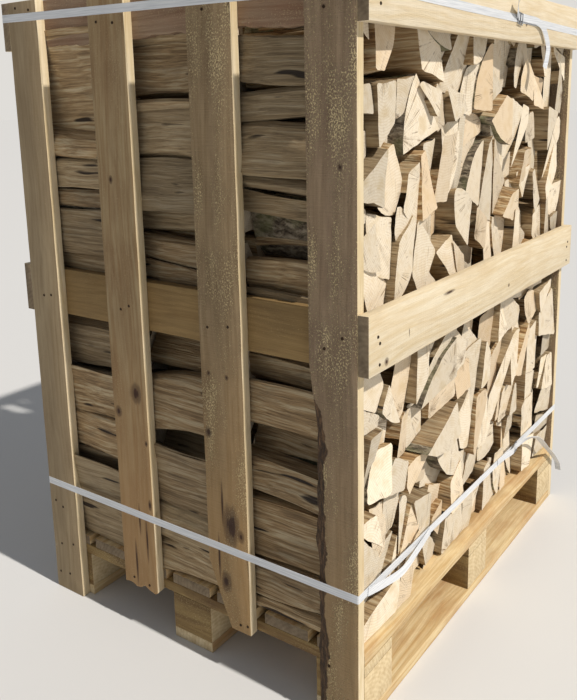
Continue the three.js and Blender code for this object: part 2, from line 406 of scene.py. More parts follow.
def split_side():
    """A split face of a log: fibres torn apart along the grain, in ridges that shade each other, with a
    few open checks. The ridges are painted pale and the hollows between them dark, which is painted light
    and shade, and the open checks are painted near black as the shade inside them. Warm logs are orange-tan
    and the others grey, and the logs on the slatted sides are kept to the grey end."""
    material, tree, shader, grain, tone, warmth = new_material("split_birch", "grain", "tone", "warmth")
    bent = wandering(tree, grain, (7, 7, 7), 2.0, (0.0, 0.016, 0.016))
    # ridges some 6 mm apart, and single fibres
    coarse = pattern(tree, bent, (5, 170, 170), 4.0, 0.65)
    fine = pattern(tree, bent, (18, 560, 560))
    patch = pattern(tree, grain, (9, 26, 26), 4.0, 0.7)
    check = pattern(tree, bent, (9, 75, 75), 1.0)
    # each ramp runs dark to pale with the ridge relief: painted shade in the hollows, painted highlight on
    # the ridges
    grey = node(tree, "ValToRGB", {"Fac": coarse},
                stops=[(0.32, "#7f6c50"), (0.5, "#a48f6d"), (0.68, "#bba98a")])
    fresh = node(tree, "ValToRGB", {"Fac": coarse},
                 stops=[(0.36, "#7f5c36"), (0.49, "#bd9562"), (0.62, "#e8d4ac")])
    colour = node(tree, "Mix", {0: warmth, 6: grey, 7: fresh}, data_type="RGBA")
    dull = node(tree, "MapRange", {"Value": patch, "From Min": 0.5, "From Max": 0.75, "To Max": 0.6})
    colour = node(tree, "Mix", {0: dull, 6: colour, 7: linear("#7d6c54")}, data_type="RGBA")
    # the open checks are painted near black: painted shade inside them
    opened = node(tree, "MapRange", {"Value": check, "From Min": 0.69, "From Max": 0.75})
    colour = node(tree, "Mix", {0: opened, 6: colour, 7: linear("#35281b")}, data_type="RGBA")
    colour = shaded(tree, colour, fine, 0.78, 1.14, tone)
    depth = node(tree, "MapRange", {"Value": warmth, "To Min": 1.0, "To Max": 3.4})
    height = node(tree, "Math", {0: coarse, 1: depth, 2: fine}, operation="MULTIPLY_ADD")
    height = node(tree, "Math", {0: opened, 1: -1.5, 2: height}, operation="MULTIPLY_ADD")
    dress(tree, shader, colour, height, 0.85, 0.85, 2.2 * MM)
    return material


def birch_bark():
    """Bark left on the round side: flaking plates a centimetre or two across, deep between them, with a
    share of them under a thin green growth. It is darker towards the gaps between the plates, partly the
    bark's own colour and partly painted shade."""
    material, tree, shader, grain, tone = new_material("birch_bark", "grain", "tone")
    bent = wandering(tree, grain, (60, 60, 60), 3.0, (0.02, 0.014, 0.014))
    plates = pattern(tree, bent, (40, 120, 120), 3.0, 0.6)
    rough = pattern(tree, grain, (260, 260, 260), 4.0, 0.7)
    moss = pattern(tree, grain, (14, 14, 14), 3.0)
    # the plates run dark to pale with their relief: partly the bark's own furrows, partly painted shade
    colour = node(tree, "ValToRGB", {"Fac": plates},
                  stops=[(0.36, "#40372c"), (0.5, "#7a6e5c"), (0.64, "#a89d88")])
    green = node(tree, "MapRange", {"Value": moss, "From Min": 0.48, "From Max": 0.62,
                 "To Max": 0.45})
    colour = node(tree, "Mix", {0: green, 6: colour, 7: linear("#868a5c")}, data_type="RGBA")
    colour = shaded(tree, colour, rough, 0.75, 1.2, tone)
    height = node(tree, "Math", {0: plates, 1: 3.0, 2: rough}, operation="MULTIPLY_ADD")
    dress(tree, shader, colour, height, 0.95, 0.8, 2.5 * MM)
    return material


def strap_plastic():
    """Polypropylene strapping: milky white, a little see-through, rolled with a fine waffle that dulls it."""
    material, tree, shader, band = new_material("polypropylene_strap", "band")
    # the waffle's cells are 2.5 mm across, and its streaks 2 mm wide
    waffle = node(tree, "TexVoronoi", {"Vector": band, "Scale": 1 / (2.5 * MM)}, feature="F1")
    streak = pattern(tree, band, (12, 500, 1))
    colour = node(tree, "ValToRGB", {"Fac": streak}, stops=[(0.3, "#c9cdd2"), (0.7, "#eceef0")])
    dress(tree, shader, colour, waffle, 0.38, 0.4, 0.4 * MM)
    shader.inputs["Subsurface Weight"].default_value = 0.15
    shader.inputs["Subsurface Radius"].default_value = (2 * MM, 2 * MM, 2 * MM)
    return material


def dulled_steel(name, low, high, roughness):
    """Bare metal, grey or brown, with slow patches where its zinc or its surface has dulled."""
    material, tree, shader = new_material(name)
    place = node(tree, "TexCoord").outputs["Object"]
    # patches some 3 mm across
    patch = pattern(tree, place, (300, 300, 300), 3.0)
    colour = node(tree, "Mix", {0: patch, 6: linear(low), 7: linear(high)}, data_type="RGBA")
    plug(tree, colour, shader.inputs["Base Color"])
    shader.inputs["Metallic"].default_value = 1.0
    shader.inputs["Roughness"].default_value = roughness
    return material


# ---- sawn boards ---------------------------------------------------------------------------------

ARRIS = 1.2 * MM  # how far a board's sharp edges are worn off
WANE_TOP = 660 * MM  # height up to which the near post lacks its arris
WANE_WIDTH = 32 * MM
CORNER_CUT_TOP = 225 * MM  # height at which the hand-sawn corner of the short slat starts


def ragged(at, reach, seed):
    """A torn edge's depth at a place along it: long waves with short splinters on them."""
    wave = noise.noise(Vector((at * 11, seed, 0))) + 0.6 * noise.noise(Vector((at * 60, seed, 4)))
    return reach * (0.5 + 0.5 * wave)


def torn_end(bm, low, high):
    """The foot of a slat, broken off in splinters instead of sawn."""
    for vert in bm.verts:
        if vert.co.z < low.z + 2 * MM:
            across = vert.co.y + vert.co.x * 1.5
            vert.co.z += ragged(across * 4, 16 * MM, 3.1) - 4 * MM


def waney_edge(bm, low, high):
    """The outer arris that was the round of the trunk, eaten away below the bark's upper end."""
    for vert in bm.verts:
        share = min(1, max(0, (WANE_TOP - vert.co.z) / 0.12))
        edge = max(0, 1 - (high.y - vert.co.y) / WANE_WIDTH)
        if share and edge:
            vert.co.x += edge * share * (6 * MM + ragged(vert.co.z, 10 * MM, 5.2))
            vert.co.y -= edge * share * ragged(vert.co.z, 13 * MM, 9.7)


def rough_under(bm, low, high):
    """The lower edge of a rail sawn from the outside of a log, so that it wanders."""
    for vert in bm.verts:
        if vert.co.z < low.z + 4 * MM:
            vert.co.z += ragged(vert.co.y, 16 * MM, 1.7) - 6 * MM


def sawn_corner(bm, low, high):
    """The lower back corner of a slat, sawn off by hand, so that the slope is ragged."""
    for vert in bm.verts:
        if vert.co.z < CORNER_CUT_TOP and low.y + 20 * MM < vert.co.y < high.y - 1 * MM:
            share = (vert.co.y - low.y) / (high.y - low.y)
            vert.co.y += (ragged(vert.co.z, 6 * MM, 2.2) - 3 * MM) * share


def slice_up(bm, axis, count, low, high):
    """Cuts a shape across at even steps, so that it has places to bend at."""
    normal = Vector([float(i == axis) for i in range(3)])
    for i in range(1, count):
        place = normal * (low[axis] + (high[axis] - low[axis]) * i / count)
        bmesh.ops.bisect_plane(bm, geom=bm.verts[:] + bm.edges[:] + bm.faces[:], plane_co=place,
                               plane_no=normal)


def box_of(low, high):
    bm = bmesh.new()
    bmesh.ops.create_cube(bm, size=1.0)
    bmesh.ops.scale(bm, verts=bm.verts, vec=high - low)
    bmesh.ops.translate(bm, verts=bm.verts, vec=(low + high) / 2)
    return bm


def solid_of(name):
    """The CAD solid itself, for a board that isn't a plain box."""
    bm = bmesh.new()
    bm.from_mesh(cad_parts[name].data)
    bmesh.ops.remove_doubles(bm, verts=bm.verts, dist=0.05 * MM)
    bmesh.ops.dissolve_limit(bm, angle_limit=math.radians(1), verts=bm.verts, edges=bm.edges)
    return bm


def sawn_board(name, along, materials, tone=1.0, seed=0, step=25 * MM, wobble=(0.42, 0.42, 0.42),
               shape=None, strips=0, boxy=True):
    """A board in place of a CAD node of that name: arrises eased, faces uneven by a wobble in mm, its sides,
    sawn ends and, on an upright, its front edge in the materials given in that order. The front edge faces
    the key lamp, and its paler wood is partly fresh sawn wood, partly painted sunlight."""
    low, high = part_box(name)
    size = high - low
    bm = box_of(low, high) if boxy else solid_of(name)
    bmesh.ops.bevel(bm, geom=bm.edges[:], offset=ARRIS, segments=2, profile=0.5, affect="EDGES", material=-1)
    across = sorted((axis for axis in range(3) if axis != along), key=lambda axis: -size[axis])
    slice_up(bm, along, max(1, round(size[along] / step)), low, high)
    slice_up(bm, across[0], strips, low, high)
    for vert in bm.verts:
        at = vert.co * 14 + Vector((seed * 7.1, seed * 3.3, 0))
        push = noise.noise_vector(at) + 0.5 * noise.noise_vector(at * 5)
        for axis in across:
            vert.co[axis] += push[axis] * wobble[axis] * MM
    if shape:
        shape(bm, low, high)
    bm.normal_update()
    for face in bm.faces:
        face.material_index = int(abs(face.normal[along]) > 0.8)
        # the edge that faces the key lamp gets the paler edge wood: partly fresher wood, partly painted
        # sunlight
        if along == Z and face.normal.y < -0.6:
            face.material_index = 2
    piece = finished(f"{name}_wood", bm, materials, [name], smooth=35)
    places = coordinates(piece.data)
    local = np.stack([places[:, axis] - low[axis] for axis in (along, *across)], 1)
    # each board is sawn from another place in the timber
    local += (seed * 3.7, seed % 3 * 0.03, seed % 5 * 0.03)
    set_attribute(piece.data, "grain", "FLOAT_VECTOR", local)
    set_attribute(piece.data, "tone", "FLOAT", np.full(len(places), tone))
    return piece


# ---- logs ----------------------------------------------------------------------------------------

LOG_AREA = 5000 * MM * MM  # mean cut end of a split log
CLUSTER = 190 * MM  # how far the stack goes before its joints change direction
RAILS = [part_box(f"left_rail_{level}") for level in ("mid", "top")]
RAIL_FACE = -RAILS[0][1].x  # how far out the rails' inner faces are
SPLIT, SAWN, BARKED = range(3)
LEAST_WIDTH = 47 * MM  # a log narrower than this isn't split again
LEAST_AREA = 600 * MM * MM  # and a sliver with a cut end smaller than this falls out
SEGMENTS = 8  # steps along a log, in which it bends and swells
SIDE_REACH = 40 * MM  # a log this close to a slatted side shows its split side there
# X and Z of a dark hollow in the front row, where a log sits so many mm deep in the stack
HOLLOW = (-313 * MM, 1130 * MM)
HOLLOW_DEPTH = 110


def outline_of(cell):
    """Lowest and highest X and Z of a flat cell."""
    xs = [v.co.x for v in cell.verts]
    zs = [v.co.z for v in cell.verts]
    return min(xs), max(xs), min(zs), max(zs)


def cut(cell, place, normal, keep_below=True):
    """The part of a flat cell on one side of a plane, as a new cell, or None if nothing is left."""
    part = cell.copy()
    bmesh.ops.bisect_plane(part, geom=part.verts[:] + part.edges[:] + part.faces[:], plane_co=place,
                           plane_no=normal, clear_outer=keep_below, clear_inner=not keep_below)
    if part.faces:
        return part
    part.free()
    return None


def clusters(low, high, rng):
    """Voronoi cells over the stack's cross-section, so that no joint runs straight through it."""
    columns = max(1, round((high.x - low.x) / CLUSTER))
    rows = max(1, round((high.z - low.z) / CLUSTER))
    pitch_x, pitch_z = (high.x - low.x) / columns, (high.z - low.z) / rows
    sites = []
    for i in range(columns):
        for j in range(rows):
            sites.append(Vector((low.x + (i + 0.5 + rng.uniform(-0.36, 0.36)) * pitch_x, 0,
                                 low.z + (j + 0.5 + rng.uniform(-0.36, 0.36)) * pitch_z)))
    for site in sites:
        cell = bmesh.new()
        bmesh.ops.create_grid(cell, x_segments=1, y_segments=1, size=0.5)
        bmesh.ops.rotate(cell, verts=cell.verts, matrix=Matrix.Rotation(math.pi / 2, 3, "X"))
        bmesh.ops.scale(cell, verts=cell.verts, vec=(high.x - low.x, 1, high.z - low.z))
        bmesh.ops.translate(cell, verts=cell.verts, vec=((low.x + high.x) / 2, 0, (low.z + high.z) / 2))
        for other in sites:
            away = other - site
            if 0 < away.length < 2.5 * CLUSTER:
                kept = cut(cell, (site + other) / 2, away)
                cell.free()
                cell = kept
        yield cell


def split_cell(cell, rng):
    """Splits a cell again and again, as logs are split, until the pieces are log-sized."""
    area = sum(f.calc_area() for f in cell.faces)
    x0, x1, z0, z1 = outline_of(cell)
    wide, tall = x1 - x0, z1 - z0
    if area < LOG_AREA * rng.uniform(0.7, 2.1) or area / math.hypot(wide, tall) < LEAST_WIDTH:
        return [cell]
    lean = math.radians(rng.gauss(0, 24))
    if rng.random() < 0.25:
        lean += math.radians(rng.choice((-45, 45)))
    upright = wide * rng.uniform(1.0, 1.9) > tall
    normal = Vector((math.cos(lean), 0, math.sin(lean)))
    if not upright:
        normal = Vector((normal.z, 0, normal.x))
    centre = Vector(((x0 + x1) / 2, 0, (z0 + z1) / 2))
    place = centre + normal * rng.uniform(-0.18, 0.18) * (wide if upright else tall)
    halves = [cut(cell, place, normal, side) for side in (True, False)]
    cell.free()
    return [piece for half in halves if half for piece in split_cell(half, rng)]


def clear_of_frame(cell, high, snug, rng):
    """Keeps a log's outline off the rails, and leaves the sides and top of the stack uneven."""
    x0, x1, z0, z1 = outline_of(cell)
    by_rail = any(z1 > rail_low.z and z0 < rail_high.z for rail_low, rail_high in RAILS)
    limits = []
    for side, reach in ((-1, x0), (1, x1)):
        if side * reach > high.x - 25 * MM:
            stop = (RAIL_FACE - 1 * MM if by_rail else high.x) - abs(rng.gauss(0, 2 if snug else 7)) * MM
            tilt = math.radians(rng.uniform(-8, 8) * (0.4 if snug else 1))
            place = Vector((side * stop, 0, z0 if tilt < 0 else z1))
            limits.append((place, Vector((side * math.cos(tilt), 0, math.sin(tilt)))))
    if z1 > high.z - 5 * MM:
        top = Vector(((x0 + x1) / 2, 0, z1 - rng.uniform(0, 34) * MM))
        limits.append((top, Vector((rng.uniform(-0.35, 0.35), 0, 1)).normalized()))
    for place, normal in limits:
        kept = cut(cell, place, normal)
        cell.free()
        if kept is None:
            return None
        cell = kept
    return cell


def worn(cell, outside, snug, rng):
    """Rounds the corners of a log's outline and gives some logs the round, barked side of the trunk."""
    x0, x1, z0, z1 = outline_of(cell)
    least = min(x1 - x0, z1 - z0)
    shown = [v for v in cell.verts if outside and abs(v.co.x) > RAIL_FACE - 25 * MM]
    hidden = [v for v in cell.verts if v not in shown]
    shown_offset = rng.uniform(0.06, 0.17) * (0.5 if snug else 1)
    hidden_offset = rng.uniform(0.02, 0.07)
    for verts, offset in ((shown, shown_offset), (hidden, hidden_offset)):
        if verts:
            bmesh.ops.bevel(cell, geom=verts, offset=least * offset, offset_type="OFFSET", segments=1,
                            profile=0.5, affect="VERTICES", clamp_overlap=True, material=-1)
    bmesh.ops.remove_doubles(cell, verts=cell.verts, dist=1 * MM)
    centre = cell.faces[:][0].calc_center_median()
    # logs never fit: the gaps between them are widest where the stack leans on nothing
    loose = rng.triangular(1, 3.5 if snug else 13, 2) * MM / (z1 - z0) if outside else rng.uniform(0, 0.03)
    bmesh.ops.scale(cell, verts=cell.verts, vec=(1 if outside else 1 - loose, 1, 1 - loose),
                    space=Matrix.Translation(-centre))
    side = max(cell.edges, key=lambda e: e.calc_length() * rng.uniform(0.4, 1))
    start, end = [v.co.copy() for v in side.verts]
    length = (end - start).length
    along = (end - start) / length
    outward = Vector((along.z, 0, -along.x))
    if outward.dot((start + end) / 2 - centre) < 0:
        outward.negate()
    for longest in (60 * MM, 30 * MM, 16 * MM):
        long_edges = [e for e in cell.edges if e.calc_length() > longest]
        bmesh.ops.subdivide_edges(cell, edges=long_edges, cuts=1)
    if rng.random() > (0.1 if outside else 0.45):
        return centre, None
    for vert in cell.verts:
        share = (vert.co - start).dot(along) / length
        if abs((vert.co - start).dot(outward)) < 0.5 * MM and 0.02 < share < 0.98:
            vert.co += outward * length * 0.42 * share * (1 - share)
    return centre, (start, along, outward, length)


def make_log(cell, near, far, shrink, outside, snug, rng):
    """Draws a flat cell out into a log: full at its middle, sides torn, ends sawn a little out of square."""
    bmesh.ops.dissolve_limit(cell, angle_limit=math.radians(1), verts=cell.verts, edges=cell.edges)
    if not cell.faces or sum(f.calc_area() for f in cell.faces) < LEAST_AREA:
        cell.free()
        return None
    centre, trunk = worn(cell, outside, snug, rng)
    turn = Matrix.Rotation(math.radians(rng.gauss(0, 4)), 3, "Y")
    bmesh.ops.rotate(cell, verts=cell.verts, cent=centre, matrix=turn)
    face = cell.faces[:][0]
    bmesh.ops.translate(cell, verts=cell.verts, vec=(0, near - centre.y, 0))
    inner = []
    for i in range(SEGMENTS):
        if i:
            inner.append(face)
        grown = bmesh.ops.extrude_face_region(cell, geom=[face], use_keep_orig=i == 0)
        face = next(item for item in grown["geom"] if isinstance(item, bmesh.types.BMFace))
        moved = [item for item in grown["geom"] if isinstance(item, bmesh.types.BMVert)]
        bmesh.ops.translate(cell, verts=moved, vec=(0, (far - near) / SEGMENTS, 0))
    loose = [f for f in inner if f.is_valid and abs(f.normal.y) > 0.9]
    bmesh.ops.delete(cell, geom=loose, context="FACES_ONLY")
    bmesh.ops.recalc_face_normals(cell, faces=cell.faces)
    offset = Vector([rng.uniform(0, 50) for _ in range(3)])
    lift = Vector((rng.gauss(0, 2.5), 0, rng.gauss(0, 7))) * MM
    bow = Vector((rng.gauss(0, 2), 0, rng.gauss(0, 4))) * MM
    slope = Vector((rng.uniform(-0.12, 0.12), 0, rng.uniform(-0.12, 0.12)))
    middle = (near + far) / 2
    for vert in cell.verts:
        along = 2 * (vert.co.y - middle) / (far - near)
        radial = vert.co - centre
        radial.y = 0
        waist = abs(along) ** 2 * shrink[int(along > 0)]
        ridges = noise.noise(Vector((vert.co.x * 40, vert.co.y * 6, vert.co.z * 40)) + offset)
        swell = noise.noise(Vector((vert.co.x * 12, vert.co.y * 11, vert.co.z * 12)) + offset)
        splinters = noise.noise(Vector((vert.co.x * 130, vert.co.y * 9, vert.co.z * 130)) + offset)
        vert.co -= radial * waist
        vert.co += radial.normalized() * (ridges * 2.8 + swell * 3.0 + splinters * 1.6 - 1.0) * MM
        vert.co += lift * along + bow * (along * along - 0.4)
        if abs(along) > 0.99:
            vert.co.y += radial.dot(slope)
    cell.normal_update()
    for part in cell.faces:
        part.material_index = SAWN if abs(part.normal.y) > 0.75 else SPLIT
        if trunk and part.material_index == SPLIT:
            start, line, outward, length = trunk
            place = turn.inverted() @ (part.calc_center_median() - centre) + centre - start
            place.y = 0
            rise = place.dot(outward)
            if rise > -5 * MM and 0 < place.dot(line) < length:
                part.material_index = BARKED
    return cell


def log_ends(row, snug, deep, rng):
    """How far in a log's two ends stand, and how much each tapers. Ends that show stand at all depths, and
    those that meet the next row fill up to it."""
    ends = []
    shrink = []
    for shows in (row == "front", row == "back"):
        depth = rng.triangular(0, 46, 10) + (rng.uniform(15, 40) if rng.random() < 0.07 else 0)
        if snug:
            depth = rng.uniform(0, 8)
        if deep:
            depth = HOLLOW_DEPTH
        ends.append(depth * MM if shows else rng.uniform(0, 6) * MM)
        shrink.append(rng.uniform(0, 0.07) if shows and not snug else 0)
    return ends, shrink


def log_row(row, seed):
    """One row of the stack as a single mesh, with each log's own colour, grain and pith."""
    rng = random.Random(seed)
    node_name = f"log_row_{row}"
    low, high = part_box(node_name)
    whole = bmesh.new()
    facts = []
    holder = bpy.data.meshes.new("log")
    for cluster in clusters(low, high, rng):
        for cell in split_cell(cluster, rng):
            x0, x1, z0, z1 = outline_of(cell)
            # close to these posts the logs fill the corner, and no light comes through
            snug = row == "front" and x1 > high.x - 50 * MM or row == "back" and x0 < low.x + 60 * MM
            deep = row == "front" and x0 < HOLLOW[0] < x1 and z0 < HOLLOW[1] < z1
            cell = clear_of_frame(cell, high, snug, rng)
            if cell is None:
                continue
            outside = x0 < low.x + SIDE_REACH or x1 > high.x - SIDE_REACH
            ends, shrink = log_ends(row, snug, deep, rng)
            near, far = low.y + ends[0] + 1 * MM, high.y - ends[1] - 1 * MM
            log = make_log(cell, near, far, shrink, outside, snug, rng)
            if log is None:
                continue
            x0, x1, z0, z1 = outline_of(log)
            away = rng.uniform(0, 2 * math.pi)
            reach = rng.uniform(0.3, 0.9)
            pith = ((x0 + x1) / 2 + math.cos(away) * reach * (x1 - x0),
                    (z0 + z1) / 2 + math.sin(away) * reach * (z1 - z0))
            tone = rng.uniform(0.62, 1.12) if outside else rng.uniform(0.8, 1.06)
            warmth = rng.uniform(0, 0.5) if outside else rng.random()
            facts.append((len(log.verts), *pith, tone, warmth, *[rng.uniform(0, 9) for _ in range(3)]))
            log.to_mesh(holder)
            log.free()
            whole.from_mesh(holder)
    bpy.data.meshes.remove(holder)
    piece = finished(f"{row}_logs", whole, [SPLIT_SIDE, LOG_END, BARK], [node_name], smooth=32)
    # sawn ends are flat, so no shading runs over onto them from the torn sides
    polygons = piece.data.polygons
    finish = np.empty(len(polygons), np.int32)
    polygons.foreach_get("material_index", finish)
    polygons.foreach_set("use_smooth", finish != SAWN)
    places = coordinates(piece.data)
    counts = [fact[0] for fact in facts]
    pith_x, pith_z, tone, warmth, *shift = np.repeat(np.array([fact[1:] for fact in facts]), counts, axis=0).T
    grain = np.stack([places[:, 1] + shift[0], places[:, 0] + shift[1], places[:, 2] + shift[2]], 1)
    ring = np.stack([places[:, 0] - pith_x, places[:, 2] - pith_z, shift[0]], 1)
    set_attribute(piece.data, "grain", "FLOAT_VECTOR", grain)
    set_attribute(piece.data, "ring", "FLOAT_VECTOR", ring)
    set_attribute(piece.data, "tone", "FLOAT", tone)
    set_attribute(piece.data, "warmth", "FLOAT", warmth)
    return piece


# ---- nails ---------------------------------------------------------------------------------------

def nails(places):
    """Sunk nail heads, each a shallow dished disc just proud of the wood, facing out of the crate."""
    whole = bmesh.new()
    for place, outward in places:
        head = bmesh.ops.create_cone(whole, cap_ends=True, segments=10, radius1=3.0 * MM, radius2=2.4 * MM,
                                     depth=1.4 * MM)["verts"]
        turn = Vector(outward).to_track_quat("Z", "Y").to_matrix()
        bmesh.ops.rotate(whole, verts=head, matrix=turn)
        bmesh.ops.translate(whole, verts=head, vec=Vector(place) * MM)
    return finished("nail_heads", whole, [NAIL])


# ---- straps --------------------------------------------------------------------------------------

STRAP_WIDTH = 15 * MM
STRAP_THICKNESS = 0.8 * MM


def hoop(name, middle, rise_x, rise_y, seed):
    """A strap pulled tight round the crate, level apart from a slight lean, creased over the four corners."""
    low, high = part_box(name)
    bm = bmesh.new()
    bmesh.ops.create_grid(bm, x_segments=1, y_segments=1, size=0.5)
    wide, deep = high.x - low.x - STRAP_THICKNESS, high.y - low.y - STRAP_THICKNESS
    bmesh.ops.scale(bm, verts=bm.verts, vec=(wide, deep, 1))
    bmesh.ops.bevel(bm, geom=bm.verts[:], offset=3 * MM, segments=3, profile=0.5, affect="VERTICES",
                    material=-1)
    for axis in (X, Y):
        slice_up(bm, axis, 40, low, high)
    inner = [e for e in bm.edges if len(e.link_faces) > 1]
    bmesh.ops.delete(bm, geom=bm.faces[:], context="FACES_ONLY")
    bmesh.ops.delete(bm, geom=[e for e in inner if e.is_valid], context="EDGES")
    bmesh.ops.delete(bm, geom=[v for v in bm.verts if not v.link_edges], context="VERTS")
    grown = bmesh.ops.extrude_edge_only(bm, edges=bm.edges[:])
    upper = [item for item in grown["geom"] if isinstance(item, bmesh.types.BMVert)]
    bmesh.ops.translate(bm, verts=upper, vec=(0, 0, STRAP_WIDTH))
    for vert in bm.verts:
        lean = noise.noise(Vector((vert.co.x * 2, vert.co.y * 2, seed)))
        vert.co.z += middle - STRAP_WIDTH / 2 + rise_x * vert.co.x + rise_y * vert.co.y + lean * 1.5 * MM
        vert.co.xy *= 1 + lean * 0.0006
    bmesh.ops.recalc_face_normals(bm, faces=bm.faces)
    bmesh.ops.solidify(bm, geom=bm.faces[:], thickness=STRAP_THICKNESS)
    return bm


def tail(bm, stations):
    """A loose strap end as a flat band. Each station is (x, y, z, twist) in mm and degrees from upright."""
    points = [Vector(station[:3]) * MM for station in stations]
    fine = []
    for i in range(len(points) - 1):
        around = [max(0, min(len(points) - 1, j)) for j in (i - 1, i, i + 1, i + 2)]
        before, here, there, after = [points[j] for j in around]
        for k in range(6):
            t = k / 6
            place = 0.5 * (2 * here + (there - before) * t
                           + (2 * before - 5 * here + 4 * there - after) * t ** 2
                           + (3 * here - before - 3 * there + after) * t ** 3)
            fine.append((place, stations[i][3] + (stations[i + 1][3] - stations[i][3]) * t))
    fine.append((points[-1], stations[-1][3]))
    made = []
    edge = None
    for i, (place, twist) in enumerate(fine):
        ahead = fine[min(i + 1, len(fine) - 1)][0] - fine[max(i - 1, 0)][0]
        upright = ahead.cross(Vector((0, -1, 0))).normalized()
        turned = Matrix.Rotation(math.radians(twist), 3, ahead) @ upright * STRAP_WIDTH / 2
        if edge is None:
            edge = bm.edges.new([bm.verts.new(place - turned), bm.verts.new(place + turned)])
            continue
        grown = bmesh.ops.extrude_edge_only(bm, edges=[edge])["geom"]
        edge = next(item for item in grown if isinstance(item, bmesh.types.BMEdge) and not item.link_faces[1:]
                    and all(v in grown for v in item.verts))
        made += [item for item in grown if isinstance(item, bmesh.types.BMFace)]
        for vert, side in zip(edge.verts, (-1, 1)):
            vert.co = place + turned * side
    bmesh.ops.recalc_face_normals(bm, faces=made)
    bmesh.ops.solidify(bm, geom=made, thickness=STRAP_THICKNESS)


def strap(name, middle, rise_x, rise_y, tails, seed):
    """A hoop with its loose ends, all of one plastic band."""
    bm = hoop(name, middle, rise_x, rise_y, seed)
    for stations in tails:
        tail(bm, stations)
    piece = finished(f"{name}_band", bm, [STRAP], [name], smooth=40)
    places = coordinates(piece.data)
    band = np.stack([places[:, 0] + places[:, 1], places[:, 2], np.zeros(len(places))], 1)
    set_attribute(piece.data, "band", "FLOAT_VECTOR", band)
    return piece


def wire_buckle(name, stand_off, lean):
    """A strap buckle of bent wire: a square loop with a bar across it for the strap to double back over."""
    low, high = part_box(name)
    centre = (low + high) / 2
    size = high - low
    bm = bmesh.new()
    bmesh.ops.create_grid(bm, x_segments=2, y_segments=1, size=0.5)
    bmesh.ops.scale(bm, verts=bm.verts, vec=(size.x, size.z, 1))
    bmesh.ops.inset_individual(bm, faces=bm.faces[:], thickness=2.6 * MM, depth=0)
    holes = [f for f in bm.faces if all(len(e.link_faces) == 2 for e in f.edges) and f.calc_area() > 1e-4]
    bmesh.ops.delete(bm, geom=holes, context="FACES")
    bmesh.ops.solidify(bm, geom=bm.faces[:], thickness=2.8 * MM)
    bmesh.ops.recalc_face_normals(bm, faces=bm.faces)
    sharp = [e for e in bm.edges if len(e.link_faces) == 2 and e.calc_face_angle() > 1]
    bmesh.ops.bevel(bm, geom=sharp, offset=1.0 * MM, segments=2, profile=0.5, affect="EDGES", material=-1)
    bmesh.ops.rotate(bm, verts=bm.verts, matrix=Matrix.Rotation(math.pi / 2, 3, "X"))
    bmesh.ops.rotate(bm, verts=bm.verts, matrix=Matrix.Rotation(math.radians(lean), 3, "Y"))
    bmesh.ops.translate(bm, verts=bm.verts, vec=(centre.x, centre.y - stand_off * MM, centre.z))
    return finished(f"{name}_wire", bm, [WIRE], [name], smooth=40)


# ---- build ---------------------------------------------------------------------------------------

make_camera()
make_light()
make_floor()

CROSS_CUT = sawn_end("cross_cut_softwood", "#dcc9a2", "#b69c72")
# a darker copy of the same end grain, for the board ends that are seen in shade: painted shade
SHADED_END_PAINTED = sawn_end("cross_cut_softwood_painted_shade", "#8b7a62", "#5f4f3c")
# the rougher the saw left a slat, the more of its lifted fibres catch the light, their glint painted as pale
# specks
SMOOTH_SLAT = sawn_softwood("planed_spruce", "#a39071", "#8e7a5b", "#7f6b4f", 0.3, fuzz=0.15)
KNOTTY_SLAT = sawn_softwood("knotty_spruce", "#a8936e", "#8f734d", "#7c5d3b", 0.4, fuzz=0.3,
                            marks=[(433, 28, 17, 0.7), (385, 80, 10, 0.7), (332, 8, 4, 0.6),
                                   (200, 8, 5, 0.4), (160, 40, 3, 0.08), (120, 22, 4, 0.07),
                                   (60, 56, 4, 0.07), (850, 60, 6, 0.7)], foot="#b48a58")
ROUGH_SLAT = sawn_softwood("rough_sawn_spruce", "#a28b69", "#87704f", "#70593e", 0.4, fuzz=0.9,
                           marks=[(215, 38, 21, 0.45), (200, 16, 8, 0.5), (390, 84, 9, 0.7),
                                  (95, 55, 13, 0.5), (504, 36, 5, 0.8), (505, 78, 5, 0.8),
                                  (255, 58, 3, 0.06), (140, 70, 3, 0.06)], foot="#b08a55")
# the near post's dark bark strip is partly painted shade of its wane
ROUGH_POST = sawn_softwood("rough_sawn_post", "#a18a6e", "#867055", "#6d5645", 0.4, fuzz=1.0,
                           marks=[(980, 30, 5, 0.7)], foot="#ab8c5c", bark_and_wane_shade=(92, 32, 640))
# the slats' front edges, paler than their faces: partly fresh sawn wood, partly painted sunlight on the side
# facing the lamp
PALE_EDGE_PAINTED_LIGHT = sawn_softwood("pale_edge_spruce_painted_light", "#ecdcbc", "#d8c49a", "#c4a877", 0.3, fuzz=0.2)
RAIL_WOOD = sawn_softwood("yellow_spruce", "#9c8051", "#876b40", "#715a37", 0.3, fuzz=0.2)
TOP_RAIL_WOOD = sawn_softwood("red_spruce", "#98826a", "#7e644e", "#85593e", 0.3, fuzz=0.45)
PALE_BOARD = sawn_softwood("fresh_spruce", "#e3d6bb", "#d6c29c", "#c9b087", 0.25, fuzz=0.15)
MARKED_BOARD = sawn_softwood("fresh_spruce_with_shakes", "#e3d6bb", "#d6c29c", "#c9b087", 0.25, fuzz=0.15,
                             marks=[(136, 42, 9, 6.0), (296, 78, 4, 0.15), (57, 12, 8, 1.0),
                                    (600, 30, 5, 0.8)])
TOP_FRONT_BOARD = sawn_softwood("fresh_spruce_with_knot", "#e6d9bf", "#d9c6a2", "#ccb48c", 0.25, fuzz=0.15,
                                marks=[(640, 46, 10, 6.0), (646, 34, 5, 0.8), (240, 70, 4, 0.2)])
PALLET_WOOD = sawn_softwood("stained_pine", "#e2cc9f", "#c6a46e", "#ad7d4d", 0.4, fuzz=0.15)
